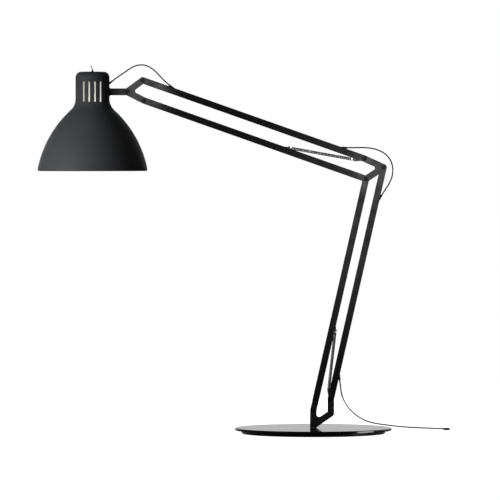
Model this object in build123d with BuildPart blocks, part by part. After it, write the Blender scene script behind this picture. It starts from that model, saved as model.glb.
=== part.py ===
from build123d import *
import math
import os

# Adjustable-arm floor lamp: a two-tier round base, a turning fork on it, two parallelogram arms
# balanced by paired springs, a head fork and a spun bell shade. Sizes are in millimetres.
# The origin is the centre of the base's underside, +Z is up and the arms lie in the plane Y = 0,
# with the shade on the -X side.

os.makedirs("parts", exist_ok=True)

# Base
BASE_R = 500.0
DISC_T = 16.5
DISC_EDGE_R = 5.0
PLINTH_R = 458.0
PLINTH_T = 17.5
PLINTH_EDGE = 2.0
PAD_INSET = 8.0
PAD_T = 3.0

# Swivel under the fork
SPINDLE_R = 9.0
SPINDLE_GRIP = 46.0
BUSH_WALL = 3.0
SPINDLE_NUT_R = 16.0
SPINDLE_NUT_T = 10.0
NUT_POCKET_GAP = 4.0
WASHER_T = 2.0
WASHER_R = 20.0

# Linkage: pivots in the plane of the arms
FRONT_PIVOT_Z = 147.0
BASE_LINK_RUN = 112.0
BASE_LINK_RISE = 74.0
LOWER_ARM = 1515.0
LOWER_ANGLE = 77.2
ELBOW_LINK_RUN = 9.0
ELBOW_LINK_DROP = 129.0
UPPER_ARM = 1500.0
UPPER_ANGLE = 160.55
HEAD_PIVOT_RUN = 100.9
HEAD_PIVOT_DROP = 73.6

# Bars: flat rectangular tube with an end fitting at each pivot
BAR_W = 42.0
BAR_T = 24.0
BAR_WALL = 2.0
BAR_CORNER = 3.0
TONGUE_T = 8.0
THIN_TONGUE_T = 6.0
SHOULDER = 24.0
SHOULDER_L = 10.0
PLUG_L = 35.0
ELBOW_REACH = 50.0
REAR_REACH = 72.0
ELBOW_CHEEK_T = 4.2

# Forks
SLOT_R = 32.0
HEAD_SLOT_R = 40.0
REACH_MARGIN = 6.0
FORK_STRIP_W = 42.0
BASE_FORK_INNER_R = 16.0
BASE_FORK_OUTER_R = 10.0
BRANCH_CORNER_DROP = 93.0
DIAGONAL_FOOT_Z = 51.0
BRACKET_INNER_R = 11.0
HEAD_FORK_INNER_R = 14.0
NECK_TONGUE_T = 12.0

# Pivot hardware
BOLT_R = 5.0
BOLT_HEAD_R = 14.0
BOLT_HEAD_T = 5.0
BOLT_HEAD_EDGE = 1.5
BOLT_SOCKET_R = 5.0
BOLT_SOCKET_DEPTH = 2.5
NUT_R = 11.0
NUT_T = 8.0
PIVOT_BUSH_R = 7.5

# Springs and their anchors
SPRING_WIRE = 3.0
SPRING_R = 7.5
SPRING_TURNS = 24
SPRING_Y = 22.5
SPRING_HOOK_L = 32.0
SPRING_PIN_HOOK_L = 18.0
SPRING_PIN_R = 4.0
SPRING_PIN_END = 31.0
LUG_ALONG = 530.0
LUG_OFF = 26.0
LUG_R = 7.5
LUG_T = 20.0
LUG_FOOT_L = 44.0
PLATE_T = 3.0
PLATE_W = 26.0
PLATE_TAIL = 40.0
ANCHOR_ALONG = 57.0
ANCHOR_OFF = 24.0

# Shade, on an axis parallel to Z
SHADE_REACH = 219.3
CAP_R = 108.5
CAP_CORNER_R = 36.0
CAP_TOP_RISE = 128.4
CAP_STRAIGHT_DROP = 43.6
FLARE_R = 100.0
BELL_R = 715.0
BELL_CENTRE_DROP = 142.0
RIM_R = 350.0
RIM_DROP = 504.6
LIP_H = 14.0
LIP_T = 12.0
SHADE_WALL = 2.0
SEAM_DROP = 116.6
VENT_W = 9.5
VENT_L = 130.0
VENT_PITCH = 19.6
VENT_COUNT = 4
VENT_RISE = 0.4

# Neck
NECK_W = 43.7
NECK_T = 25.0
NECK_ROOT_R = 11.0

# Lampholder and bulb
BRIDGE_W = 30.0
BRIDGE_T = 3.0
BRIDGE_DROP = 78.0
BRIDGE_TAB = 14.0
HOLDER_R = 22.0
HOLDER_L = 62.0
HOLDER_WALL = 5.0
BULB_CAP_R = 13.0
BULB_CAP_L = 26.0
BULB_R = 62.0
BULB_NECK_R = 17.0
BULB_DROP = 92.0

# Toggle switch in the cap's top
BUSHING_R = 5.0
BUSHING_H = 13.0
SWITCH_W = 24.0
SWITCH_L = 30.0
SWITCH_H = 26.0
SWITCH_NUT_R = 9.0
SWITCH_NUT_T = 3.0
LEVER_BALL_R = 3.3
LEVER_R = 2.2
LEVER_TIP_R = 3.0
LEVER_L = 28.0
LEVER_TILT = 22.0

# Cord and the sleeves where it leaves a housing
CORD_D = 8.5
SLEEVE_R = 7.0
SLEEVE_TIP_R = 5.2
SLEEVE_IN = 22.0
SLEEVE_OUT = 26.0
ARM_SLEEVE_LEAN = 20.0
CAP_SLEEVE_LEAN = 38.0
CAP_SLEEVE_RISE = 55.0
REAR_TOP_SLEEVE = 195.0
REAR_FOOT_SLEEVE = 150.0
TOP_ELBOW_SLEEVE = 150.0
TOP_HEAD_SLEEVE = 190.0
PLUG_W = 34.0
PLUG_H = 14.0
PLUG_BODY_L = 24.0
PLUG_GRIP_L = 16.0
PLUG_CORNER_R = 4.0
PLUG_PIN_R = 2.0
PLUG_PIN_L = 19.0
PLUG_PIN_PITCH = 19.0

# Clearances
SEAT_GAP = 0.1
RUN_GAP = 0.05
SIDE_GAP = 0.3
FACE_GAP = 0.2


def ahead(point, angle, along, off=0.0):
    """The point that lies along a direction, and off to its left, in the plane of the arms."""
    c, s = math.cos(math.radians(angle)), math.sin(math.radians(angle))
    return point[0] + along * c - off * s, point[1] + along * s + off * c


def direction(p, q):
    """The angle in degrees from one point to another in the plane of the arms."""
    return math.degrees(math.atan2(q[1] - p[1], q[0] - p[0]))


def arm_plane(point, angle=0.0, y=0.0):
    """A plane in the arms' plane with X along an angle, facing the front."""
    turn = math.radians(angle)
    return Plane(
        origin=(point[0], y, point[1]),
        x_dir=(math.cos(turn), 0, math.sin(turn)),
        z_dir=(0, -1, 0),
    )


# Levels of the base and the pivots
disc_base = PAD_T + PLINTH_T
disc_top = disc_base + DISC_T
fork_foot = disc_top + WASHER_T + FACE_GAP
base_front = (0.0, FRONT_PIVOT_Z)
base_rear = (BASE_LINK_RUN, FRONT_PIVOT_Z + BASE_LINK_RISE)
elbow_low = ahead(base_front, LOWER_ANGLE, LOWER_ARM)
elbow_rear = ahead(base_rear, LOWER_ANGLE, LOWER_ARM)
elbow_top = (elbow_low[0] - ELBOW_LINK_RUN, elbow_low[1] + ELBOW_LINK_DROP)
head_top = ahead(elbow_top, UPPER_ANGLE, UPPER_ARM)
head_low = ahead(elbow_low, UPPER_ANGLE, UPPER_ARM)
head_pivot = (head_top[0] - HEAD_PIVOT_RUN, head_top[1] - HEAD_PIVOT_DROP)
shade_x = head_pivot[0] - SHADE_REACH
cap_top = head_pivot[1] + CAP_TOP_RISE
rim_z = head_pivot[1] - RIM_DROP
seam_z = head_pivot[1] - SEAM_DROP
nose_r = BAR_W / 2
half_t = BAR_T / 2
slot_half = TONGUE_T / 2 + SIDE_GAP
thin_slot_half = THIN_TONGUE_T / 2 + SIDE_GAP
elbow_cheek_out = thin_slot_half + ELBOW_CHEEK_T
neck_slot_half = NECK_TONGUE_T / 2 + SIDE_GAP
plate_face = half_t + SIDE_GAP
plate_out = plate_face + PLATE_T


def save(builder, name):
    """Label a finished piece and write it."""
    builder.part.label = name
    export_step(builder.part, f"parts/{name}.step")


# Base: felt pad, ballast plinth and top disc
with BuildPart() as floor_pad:
    with BuildSketch():
        Circle(PLINTH_R - PAD_INSET)
    extrude(amount=PAD_T)
save(floor_pad, "floor_pad")

with BuildPart() as base_plinth:
    with BuildSketch(Plane.XY.offset(PAD_T)):
        Circle(PLINTH_R)
        Circle(SPINDLE_NUT_R + NUT_POCKET_GAP, mode=Mode.SUBTRACT)
    extrude(amount=PLINTH_T)
    chamfer(base_plinth.edges().group_by(Axis.Z)[0].sort_by(SortBy.LENGTH)[-1], PLINTH_EDGE)
save(base_plinth, "base_plinth")

with BuildPart() as base_disc:
    with BuildSketch(Plane.XY.offset(disc_base)):
        Circle(BASE_R)
        Circle(SPINDLE_R + RUN_GAP + BUSH_WALL + SEAT_GAP, mode=Mode.SUBTRACT)
    extrude(amount=DISC_T)
    rims = base_disc.edges().filter_by(GeomType.CIRCLE).sort_by(SortBy.RADIUS)[-2:]
    fillet(rims, min(DISC_EDGE_R, 0.45 * DISC_T))
save(base_disc, "base_disc")

with BuildPart() as swivel_bush:
    with BuildSketch(Plane.XY.offset(disc_base)):
        Circle(SPINDLE_R + RUN_GAP + BUSH_WALL)
        Circle(SPINDLE_R + RUN_GAP, mode=Mode.SUBTRACT)
    extrude(amount=DISC_T)
save(swivel_bush, "swivel_bush")

with BuildPart() as thrust_washer:
    with BuildSketch(Plane.XY.offset(disc_top)):
        Circle(WASHER_R)
        Circle(SPINDLE_R + SIDE_GAP, mode=Mode.SUBTRACT)
    extrude(amount=WASHER_T)
save(thrust_washer, "thrust_washer")

# Spindle in the fork's foot, with its nut in the plinth's pocket
nut_base = PAD_T + (PLINTH_T - SPINDLE_NUT_T) / 2
with BuildPart() as swivel_spindle:
    with BuildSketch(Plane.XY.offset(nut_base)):
        Circle(SPINDLE_R)
    extrude(amount=fork_foot + SPINDLE_GRIP - nut_base)
save(swivel_spindle, "swivel_spindle")

with BuildPart() as spindle_nut:
    with BuildSketch(Plane.XY.offset(nut_base)):
        RegularPolygon(SPINDLE_NUT_R, 6)
        Circle(SPINDLE_R + RUN_GAP, mode=Mode.SUBTRACT)
    extrude(amount=SPINDLE_NUT_T)
save(spindle_nut, "spindle_nut")


def strip(p, q, width):
    """A straight strip from one point to another with round ends, in the current sketch."""
    middle = Location(((p[0] + q[0]) / 2, (p[1] + q[1]) / 2, 0), (0, 0, direction(p, q)))
    with Locations(middle):
        Rectangle(math.dist(p, q), width)
    with Locations(p, q):
        Circle(width / 2)


def cut_slot(point, half, radius):
    """Cut a round slot for a bar's tongue at a pivot of the current part."""
    with BuildSketch(arm_plane(point)) as slot:
        Circle(radius)
    extrude(slot.sketch, amount=half, both=True, mode=Mode.SUBTRACT)


def cut_bolt_holes(points):
    """Cut the clearance holes for pivot bolts through the current part."""
    for point in points:
        with BuildSketch(arm_plane(point)) as hole:
            Circle(BOLT_R + RUN_GAP)
        extrude(hole.sketch, amount=NECK_T, both=True, mode=Mode.SUBTRACT)


# Base fork: a column with a branch that rises beside it
branch_foot = (base_rear[0], base_rear[1] - BRANCH_CORNER_DROP)
diagonal_foot = (base_front[0], DIAGONAL_FOOT_Z)
gap_corner = (FORK_STRIP_W / 2, diagonal_foot[1] + FORK_STRIP_W)
bend_corner = (branch_foot[0] + FORK_STRIP_W / 2, branch_foot[1] - FORK_STRIP_W / 2)
with BuildPart() as base_fork:
    with BuildSketch(Plane.XZ) as fork_outline:
        with Locations((base_front[0], (fork_foot + base_front[1]) / 2)):
            Rectangle(FORK_STRIP_W, base_front[1] - fork_foot)
        with Locations(base_front):
            Circle(FORK_STRIP_W / 2)
        strip(branch_foot, base_rear, FORK_STRIP_W)
        strip(diagonal_foot, branch_foot, FORK_STRIP_W)
        with Locations((0, fork_foot - FORK_STRIP_W)):
            Rectangle(4 * FORK_STRIP_W, 2 * FORK_STRIP_W, mode=Mode.SUBTRACT)
        corner = fork_outline.vertices().sort_by_distance(gap_corner)[0]
        fillet(corner, BASE_FORK_INNER_R)
    extrude(amount=half_t, both=True)
    cut_slot(base_front, slot_half, SLOT_R)
    cut_slot(base_rear, slot_half, SLOT_R)
    cut_bolt_holes([base_front, base_rear])
    with BuildSketch(Plane.XY.offset(fork_foot)):
        Circle(SPINDLE_R + RUN_GAP)
    extrude(amount=SPINDLE_GRIP, mode=Mode.SUBTRACT)
save(base_fork, "base_fork")

# Elbow bracket: two strips that meet at the rear pivot
sweep_low = LOWER_ANGLE + 180.0
REAR_SWEEP = (-12.0, 14.0, 42.0)
with BuildPart() as elbow_bracket:
    with BuildSketch(Plane.XZ) as bracket_outline:
        strip(elbow_top, elbow_rear, FORK_STRIP_W)
        strip(elbow_low, elbow_rear, FORK_STRIP_W)
        inside = ahead(elbow_rear, direction(elbow_rear, elbow_low) - 29.0, FORK_STRIP_W)
        corner = bracket_outline.vertices().sort_by_distance(inside)[0]
        fillet(corner, BRACKET_INNER_R)
    extrude(amount=half_t, both=True)
    cut_slot(elbow_top, slot_half, SLOT_R)
    cut_slot(elbow_rear, slot_half, SLOT_R)
    for turn in REAR_SWEEP:
        reach = REAR_REACH + SHOULDER_L + REACH_MARGIN
        with BuildSketch(arm_plane(elbow_rear, sweep_low + turn)):
            with Locations((reach / 2, 0)):
                Rectangle(reach, BAR_W + REACH_MARGIN)
        extrude(amount=slot_half, both=True, mode=Mode.SUBTRACT)
    cut_slot(elbow_low, thin_slot_half, SLOT_R)
    for side in (-1, 1):
        with BuildSketch(arm_plane(elbow_low, y=side * elbow_cheek_out)):
            Circle(SLOT_R)
        extrude(amount=-side * half_t, mode=Mode.SUBTRACT)
    cut_bolt_holes([elbow_top, elbow_rear, elbow_low])
save(elbow_bracket, "elbow_bracket")

# Head fork: two strips that meet in a tongue at the head's pivot
with BuildPart() as head_fork:
    with BuildSketch(Plane.XZ) as head_outline:
        strip(head_pivot, head_top, FORK_STRIP_W)
        strip(head_pivot, head_low, FORK_STRIP_W)
        middle = ((head_top[0] + head_low[0]) / 2, (head_top[1] + head_low[1]) / 2)
        notch = ahead(head_pivot, direction(head_pivot, middle), FORK_STRIP_W)
        corner = head_outline.vertices().sort_by_distance(notch)[0]
        fillet(corner, HEAD_FORK_INNER_R)
    extrude(amount=half_t, both=True)
    cut_slot(head_top, slot_half, SLOT_R)
    cut_slot(head_low, slot_half, SLOT_R)
    for side in (-1, 1):
        with BuildSketch(arm_plane(head_pivot, y=side * NECK_TONGUE_T / 2)):
            Circle(HEAD_SLOT_R)
        extrude(amount=-side * half_t, mode=Mode.SUBTRACT)
    cut_bolt_holes([head_top, head_low])
    with BuildSketch(arm_plane(head_pivot)):
        Circle(PIVOT_BUSH_R + RUN_GAP)
    extrude(amount=half_t, both=True, mode=Mode.SUBTRACT)
save(head_fork, "head_fork")


def tongue_end(pivot, angle, thickness, reach):
    """A bar's end fitting: a round-nosed tongue, a shoulder flush with the tube and a plug in it."""
    plane = arm_plane(pivot, angle)
    tube_from = reach + SHOULDER_L
    with BuildPart() as fitting:
        with BuildSketch(plane):
            Circle(nose_r)
            with Locations((reach / 2, 0)):
                Rectangle(reach, BAR_W)
            Circle(PIVOT_BUSH_R + RUN_GAP, mode=Mode.SUBTRACT)
        extrude(amount=thickness / 2, both=True)
        with BuildSketch(plane):
            with Locations((reach + SHOULDER_L / 2, 0)):
                Rectangle(SHOULDER_L, BAR_W)
        extrude(amount=half_t, both=True)
        with BuildSketch(plane):
            with Locations((tube_from + PLUG_L / 2, 0)):
                Rectangle(PLUG_L, BAR_W - 2 * (BAR_WALL + SEAT_GAP))
        extrude(amount=half_t - BAR_WALL - SEAT_GAP, both=True)
    return fitting


def cheek_end(pivot, angle, slot, reach):
    """A bar's forked end fitting: two round-nosed cheeks, a shoulder and a plug in the tube."""
    plane = arm_plane(pivot, angle)
    tube_from = reach + SHOULDER_L
    with BuildPart() as fitting:
        with BuildSketch(plane):
            Circle(nose_r)
            with Locations((tube_from / 2, 0)):
                Rectangle(tube_from, BAR_W)
            Circle(BOLT_R + RUN_GAP, mode=Mode.SUBTRACT)
        extrude(amount=half_t, both=True)
        with BuildSketch(plane):
            with Locations(((reach - BAR_W) / 2, 0)):
                Rectangle(reach + BAR_W, 2 * BAR_W)
        extrude(amount=slot, both=True, mode=Mode.SUBTRACT)
        with BuildSketch(plane):
            with Locations((tube_from + PLUG_L / 2, 0)):
                Rectangle(PLUG_L, BAR_W - 2 * (BAR_WALL + SEAT_GAP))
        extrude(amount=half_t - BAR_WALL - SEAT_GAP, both=True)
    return fitting


def sleeve_plane(point, angle):
    """A plane square to a cord sleeve that leaves a housing along an angle."""
    turn = math.radians(angle)
    return Plane(origin=(point[0], 0, point[1]), z_dir=(math.cos(turn), 0, math.sin(turn)))


def bar_tube(pivot, angle, start, stop, sleeves):
    """A bar's rectangular tube between two distances from its pivot, with holes for cord sleeves."""
    place = ahead(pivot, angle, start)
    turn = math.radians(angle)
    square = Plane(
        origin=(place[0], 0, place[1]),
        x_dir=(0, 1, 0),
        z_dir=(math.cos(turn), 0, math.sin(turn)),
    )
    with BuildPart() as tube:
        with BuildSketch(square):
            RectangleRounded(BAR_T, BAR_W, BAR_CORNER)
            Rectangle(BAR_T - 2 * BAR_WALL, BAR_W - 2 * BAR_WALL, mode=Mode.SUBTRACT)
        extrude(amount=stop - start)
        for point, out in sleeves:
            with BuildSketch(sleeve_plane(point, out).offset(-SLEEVE_IN)):
                Circle(SLEEVE_R + SEAT_GAP)
            extrude(amount=SLEEVE_IN + SLEEVE_OUT, mode=Mode.SUBTRACT)
    return tube


def pivot_bushes(pivots):
    """Plain bushes, one in each tongue: pairs of a pivot and its tongue's thickness."""
    with BuildPart() as bushes:
        for pivot, thickness in pivots:
            with BuildSketch(arm_plane(pivot)):
                Circle(PIVOT_BUSH_R)
                Circle(BOLT_R + RUN_GAP, mode=Mode.SUBTRACT)
            extrude(amount=thickness / 2, both=True)
    return bushes


def cord_sleeves(places):
    """Tapered strain-relief sleeves that pass through a wall: pairs of a point and a direction."""
    with BuildPart() as sleeves:
        for point, out in places:
            plane = sleeve_plane(point, out)
            with BuildSketch(plane.offset(-SLEEVE_IN)):
                Circle(SLEEVE_R)
            extrude(amount=SLEEVE_IN)
            with BuildSketch(plane):
                Circle(SLEEVE_R)
            with BuildSketch(plane.offset(SLEEVE_OUT)):
                Circle(SLEEVE_TIP_R)
            loft()
    return sleeves


# Places where the cord goes in and out of the tubes
rear_top_exit = ahead(elbow_rear, LOWER_ANGLE, -REAR_TOP_SLEEVE, -nose_r)
rear_top_out = LOWER_ANGLE - ARM_SLEEVE_LEAN
rear_foot_exit = ahead(base_rear, LOWER_ANGLE, REAR_FOOT_SLEEVE, -nose_r)
rear_foot_out = LOWER_ANGLE + 180.0 + ARM_SLEEVE_LEAN
top_elbow_exit = ahead(elbow_top, UPPER_ANGLE, TOP_ELBOW_SLEEVE, -nose_r)
top_elbow_out = UPPER_ANGLE - 180.0 + ARM_SLEEVE_LEAN
top_head_exit = ahead(head_top, UPPER_ANGLE, -TOP_HEAD_SLEEVE, -nose_r)
top_head_out = UPPER_ANGLE - ARM_SLEEVE_LEAN
cap_exit = (shade_x + CAP_R, head_pivot[1] + CAP_SLEEVE_RISE)
cap_out = CAP_SLEEVE_LEAN

# Each bar: its pivots, angle, length, end fittings and cord sleeves
short_from = SHOULDER + SHOULDER_L
elbow_from = ELBOW_REACH + SHOULDER_L
rear_from = REAR_REACH + SHOULDER_L
rear_sleeves = [(rear_top_exit, rear_top_out), (rear_foot_exit, rear_foot_out)]
top_sleeves = [(top_elbow_exit, top_elbow_out), (top_head_exit, top_head_out)]

save(tongue_end(base_front, LOWER_ANGLE, TONGUE_T, SHOULDER), "lower_front_foot_end")
save(
    tongue_end(elbow_low, LOWER_ANGLE + 180, THIN_TONGUE_T, ELBOW_REACH),
    "lower_front_elbow_end",
)
save(
    bar_tube(base_front, LOWER_ANGLE, short_from, LOWER_ARM - elbow_from, []),
    "lower_front_tube",
)
save(
    pivot_bushes([(base_front, TONGUE_T), (elbow_low, THIN_TONGUE_T)]),
    "lower_front_bushes",
)

save(tongue_end(base_rear, LOWER_ANGLE, TONGUE_T, SHOULDER), "lower_rear_foot_end")
save(
    tongue_end(elbow_rear, LOWER_ANGLE + 180, TONGUE_T, REAR_REACH),
    "lower_rear_elbow_end",
)
save(
    bar_tube(base_rear, LOWER_ANGLE, short_from, LOWER_ARM - rear_from, rear_sleeves),
    "lower_rear_tube",
)
save(
    pivot_bushes([(base_rear, TONGUE_T), (elbow_rear, TONGUE_T)]),
    "lower_rear_bushes",
)
save(cord_sleeves(rear_sleeves), "lower_rear_cord_sleeves")

save(tongue_end(elbow_top, UPPER_ANGLE, TONGUE_T, SHOULDER), "upper_top_elbow_end")
save(tongue_end(head_top, UPPER_ANGLE + 180, TONGUE_T, SHOULDER), "upper_top_head_end")
save(
    bar_tube(elbow_top, UPPER_ANGLE, short_from, UPPER_ARM - short_from, top_sleeves),
    "upper_top_tube",
)
save(
    pivot_bushes([(elbow_top, TONGUE_T), (head_top, TONGUE_T)]),
    "upper_top_bushes",
)
save(cord_sleeves(top_sleeves), "upper_top_cord_sleeves")

save(
    cheek_end(elbow_low, UPPER_ANGLE, elbow_cheek_out + SIDE_GAP, ELBOW_REACH),
    "upper_bottom_elbow_end",
)
save(tongue_end(head_low, UPPER_ANGLE + 180, TONGUE_T, SHOULDER), "upper_bottom_head_end")
save(
    bar_tube(elbow_low, UPPER_ANGLE, elbow_from, UPPER_ARM - short_from, []),
    "upper_bottom_tube",
)
save(pivot_bushes([(head_low, TONGUE_T)]), "upper_bottom_bush")
save(pivot_bushes([(head_pivot, NECK_TONGUE_T)]), "head_bush")


def pivot_bolts(pivots):
    """Socket-head bolts with cap nuts: triples of a pivot, its front seat and its back seat."""
    with BuildPart() as bolts:
        for pivot, front, back in pivots:
            grip = NUT_T - BOLT_HEAD_EDGE
            with BuildSketch(arm_plane(pivot, y=-front)):
                Circle(BOLT_R)
            extrude(amount=-(front + back + grip - SEAT_GAP))
            with BuildSketch(arm_plane(pivot, y=-front)):
                Circle(BOLT_HEAD_R)
            extrude(amount=BOLT_HEAD_T - BOLT_HEAD_EDGE)
            with BuildSketch(arm_plane(pivot, y=-front - BOLT_HEAD_T + BOLT_HEAD_EDGE)):
                Circle(BOLT_HEAD_R)
            extrude(amount=BOLT_HEAD_EDGE, taper=45)
            with BuildSketch(arm_plane(pivot, y=-front - BOLT_HEAD_T)):
                RegularPolygon(BOLT_SOCKET_R, 6)
            extrude(amount=-BOLT_SOCKET_DEPTH, mode=Mode.SUBTRACT)
            with BuildSketch(arm_plane(pivot, y=back)):
                Circle(NUT_R)
                Circle(BOLT_R + RUN_GAP, mode=Mode.SUBTRACT)
            extrude(amount=-grip)
            with BuildSketch(arm_plane(pivot, y=back + grip)):
                Circle(NUT_R)
            extrude(amount=-BOLT_HEAD_EDGE, taper=45)
    return bolts


fork_seat = half_t + SEAT_GAP
plate_seat = plate_out + SEAT_GAP
swing_seat = half_t + SIDE_GAP
neck_seat = NECK_T / 2 + SEAT_GAP
base_pivots = [(base_front, fork_seat, fork_seat), (base_rear, plate_seat, plate_seat)]
elbow_pivots = [
    (elbow_top, plate_seat, plate_seat),
    (elbow_rear, fork_seat, fork_seat),
    (elbow_low, swing_seat, swing_seat),
]
fork_pivots = [(head_top, fork_seat, fork_seat), (head_low, fork_seat, fork_seat)]
neck_pivots = [(head_pivot, neck_seat, neck_seat)]
for group, pivots in (
    ("base", base_pivots),
    ("elbow", elbow_pivots),
    ("head_fork", fork_pivots),
    ("neck", neck_pivots),
):
    save(pivot_bolts(pivots), f"{group}_pivot_bolts")

# Spring anchors: studs on plates beside the fork and bracket, and cross pins in lugs on the bars
lower_anchor = ahead(base_rear, LOWER_ANGLE, ANCHOR_ALONG, ANCHOR_OFF)
upper_anchor = ahead(elbow_top, UPPER_ANGLE, ANCHOR_ALONG, ANCHOR_OFF)
lower_pin = ahead(base_front, LOWER_ANGLE, LUG_ALONG, -LUG_OFF)
upper_pin = ahead(elbow_low, UPPER_ANGLE, LUG_ALONG, -LUG_OFF)


def spring_plates(pivot, anchor, tail_angle):
    """A pair of plates outside a fork, each with a stud for the end of a spring."""
    with BuildPart() as plates:
        for side in (-1, 1):
            with BuildSketch(arm_plane((0.0, 0.0), y=side * plate_face)):
                strip(pivot, anchor, PLATE_W)
                strip(pivot, ahead(pivot, tail_angle, PLATE_TAIL), PLATE_W)
                with Locations(pivot):
                    Circle(BOLT_R + RUN_GAP, mode=Mode.SUBTRACT)
            extrude(amount=-side * PLATE_T)
            with BuildSketch(arm_plane(anchor, y=side * plate_out)):
                Circle(SPRING_PIN_R)
            extrude(amount=-side * (SPRING_PIN_END - plate_out))
    return plates


def spring_lug(pivot, angle):
    """A lug on a bar's inner edge that holds the springs' cross pin."""
    foot = nose_r + SEAT_GAP
    with BuildPart() as lug:
        with BuildSketch(arm_plane(pivot, angle)):
            with Locations((LUG_ALONG, -(foot + BAR_WALL))):
                Rectangle(LUG_FOOT_L, 2 * BAR_WALL)
            with Locations((LUG_ALONG, -(foot + LUG_OFF) / 2)):
                Rectangle(2 * LUG_R, LUG_OFF - foot)
            with Locations((LUG_ALONG, -LUG_OFF)):
                Circle(LUG_R)
                Circle(SPRING_PIN_R + RUN_GAP, mode=Mode.SUBTRACT)
            with Locations((LUG_ALONG, 0)):
                Rectangle(LUG_FOOT_L, 2 * foot, mode=Mode.SUBTRACT)
        extrude(amount=LUG_T / 2, both=True)
    return lug


def cross_pin(point):
    """The pin across a lug that both springs of an arm hook on to."""
    with BuildPart() as pin:
        with BuildSketch(arm_plane(point)):
            Circle(SPRING_PIN_R)
        extrude(amount=SPRING_PIN_END, both=True)
    return pin


save(spring_plates(base_rear, lower_anchor, -90.0), "lower_spring_plates")
save(
    spring_plates(elbow_top, upper_anchor, direction(elbow_top, elbow_rear)),
    "upper_spring_plates",
)
save(spring_lug(base_front, LOWER_ANGLE), "lower_spring_lug")
save(spring_lug(elbow_low, UPPER_ANGLE), "upper_spring_lug")
save(cross_pin(lower_pin), "lower_spring_pin")
save(cross_pin(upper_pin), "upper_spring_pin")


def biarc(p1, t1, p2, t2):
    """Two arcs from a point and tangent to another, meeting where their end lines do."""
    v, t = p2 - p1, t1 + t2
    side = 2 * (1 - t1.dot(t2))
    d = (-v.dot(t) + math.sqrt(v.dot(t) ** 2 + side * v.dot(v))) / side
    q1, q2 = p1 + t1 * d, p2 - t2 * d
    middle = (q1 + q2) * 0.5
    TangentArc(p1, middle, tangent=t1)
    TangentArc(middle, p2, tangent=(q2 - q1).normalized())


def spring_line(start, stop, y):
    """Points and tangents of a spring's wire: straight ends on its axis and a helix between."""
    a, b = Vector(start[0], y, start[1]), Vector(stop[0], y, stop[1])
    axis = (b - a).normalized()
    across = Vector(0, 1, 0)
    up = axis.cross(across)
    length = (b - a).length
    coil = length - SPRING_HOOK_L - SPRING_PIN_HOOK_L
    pitch = coil / SPRING_TURNS
    end = SPRING_PIN_R + FACE_GAP
    rows = [(a + axis * end, axis), (a + axis * (end + 2 * SPRING_WIRE), axis)]
    steps = 2 * SPRING_TURNS
    slope = pitch / (2 * math.pi * SPRING_R)
    for i in range(steps + 1):
        turn = math.pi * i
        out = up * math.cos(turn) + across * math.sin(turn)
        along = across * math.cos(turn) - up * math.sin(turn)
        place = a + axis * (SPRING_HOOK_L + coil * i / steps) + out * SPRING_R
        rows.append((place, (along + axis * slope).normalized()))
    rows.append((b - axis * (end + 2 * SPRING_WIRE), axis))
    rows.append((b - axis * end, axis))
    return rows


def springs(start, stop):
    """The pair of springs of an arm, one on each side of it."""
    with BuildPart() as pair:
        for y in (-SPRING_Y, SPRING_Y):
            rows = spring_line(start, stop, y)
            with BuildLine() as wire:
                Line(rows[0][0], rows[1][0])
                for (p1, t1), (p2, t2) in zip(rows[1:-2], rows[2:-1]):
                    biarc(p1, t1, p2, t2)
                Line(rows[-2][0], rows[-1][0])
            with BuildSketch(Plane(origin=rows[0][0], z_dir=rows[0][1])):
                Circle(SPRING_WIRE / 2)
            sweep(path=wire.line)
    coil = math.dist(start, stop) - SPRING_HOOK_L - SPRING_PIN_HOOK_L
    print("spring gap between turns", round(coil / SPRING_TURNS - SPRING_WIRE, 2))
    return pair


save(springs(lower_anchor, lower_pin), "lower_springs")
save(springs(upper_anchor, upper_pin), "upper_springs")


def shade_body(inset):
    """The solid inside the shade's outline, moved in by an inset, from the rim to the cap's top."""
    corner_r = CAP_CORNER_R - inset
    flare_r = FLARE_R + inset
    bell_r = BELL_R - inset
    straight_z = head_pivot[1] - CAP_STRAIGHT_DROP
    flare_x = CAP_R + FLARE_R
    bell_z = rim_z + LIP_H - BELL_CENTRE_DROP
    bell_x = RIM_R - math.sqrt(BELL_R**2 - (rim_z + LIP_H - bell_z) ** 2)
    gap = math.dist((flare_x, straight_z), (bell_x, bell_z))
    share = flare_r / gap
    meet = (
        flare_x + (bell_x - flare_x) * share,
        straight_z + (bell_z - straight_z) * share,
    )
    half = math.radians(0.5 * (180.0 + direction((flare_x, straight_z), meet) % 360.0))
    flare_mid = (flare_x + flare_r * math.cos(half), straight_z + flare_r * math.sin(half))
    rim = (bell_x + math.sqrt(bell_r**2 - (rim_z + LIP_H - bell_z) ** 2), rim_z + LIP_H)
    a1 = math.atan2(meet[1] - bell_z, meet[0] - bell_x)
    a2 = math.atan2(rim[1] - bell_z, rim[0] - bell_x)
    bell_mid = (
        bell_x + bell_r * math.cos((a1 + a2) / 2),
        bell_z + bell_r * math.sin((a1 + a2) / 2),
    )
    top = cap_top - inset
    wall = CAP_R - inset
    with BuildPart() as body:
        with BuildSketch(Plane(origin=(shade_x, 0, 0), x_dir=(1, 0, 0), z_dir=(0, -1, 0))):
            with BuildLine():
                Line((0, rim_z - inset), (0, top))
                Line((0, top), (wall - corner_r, top))
                RadiusArc((wall - corner_r, top), (wall, top - corner_r), corner_r)
                Line((wall, top - corner_r), (wall, straight_z))
                ThreePointArc((wall, straight_z), flare_mid, meet)
                ThreePointArc(meet, bell_mid, rim)
                Line(rim, (rim[0], rim_z - inset))
                Line((rim[0], rim_z - inset), (0, rim_z - inset))
            make_face()
        revolve(axis=Axis((shade_x, 0, 0), (0, 0, 1)))
    return body


shade_outside = shade_body(0.0)
shade_inside = shade_body(SHADE_WALL)
shade_fit = shade_body(SHADE_WALL + FACE_GAP)

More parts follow.
